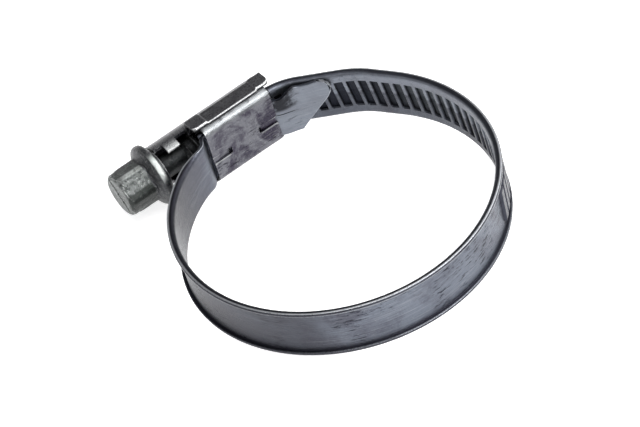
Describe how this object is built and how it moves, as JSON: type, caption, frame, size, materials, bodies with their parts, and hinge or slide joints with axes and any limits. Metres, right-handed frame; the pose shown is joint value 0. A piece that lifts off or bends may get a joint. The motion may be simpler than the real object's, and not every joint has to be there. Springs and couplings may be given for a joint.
{
  "type": "worm drive hose clamp",
  "caption": "Worm-drive hose clamp: thin steel band with turned-out edges and embossed thread, saddle, folded screw housing and slotted hexagon screw.",
  "frame": {"origin": "centre of the ring on its axis, at half the band's width", "axes": "+Z along the ring's axis, +Y from the ring's centre to the screw housing, screw along X with its head towards -X"},
  "size_m": [0.0526, 0.0614, 0.0126],
  "materials": {
    "band": "rolled strip steel, blue-grey, with long fine scratches",
    "saddle": "dull pressed steel with dark smudges",
    "housing": "dark dull pressed steel with bright folded edges",
    "screw": "dull zinc-plated steel, bright on worn faces"
  },
  "bodies": {
    "housing": {"housing_shell": "housing", "saddle_plate": "saddle", "band_fixed_end": "band", "band_loop": "band"},
    "screw": {"worm_screw": "screw"},
    "tail": {"band_tail": "band"}
  },
  "joints": [
    {"name": "screw_spin", "type": "hinge", "parent": "housing", "child": "screw", "pos_m": [0, 0.02975, 0], "axis": [1, 0, 0], "range_deg": [0, 1050]},
    {"name": "tail_slide", "type": "slide", "parent": "housing", "child": "tail", "axis": [-1, 0, 0], "range_m": [0, 0.00583], "deforming": ["band_loop"]}
  ],
  "couplings": [
    {"joint": "screw_spin", "follows": "tail_slide", "rad_per_m": 3141.6}
  ]
}
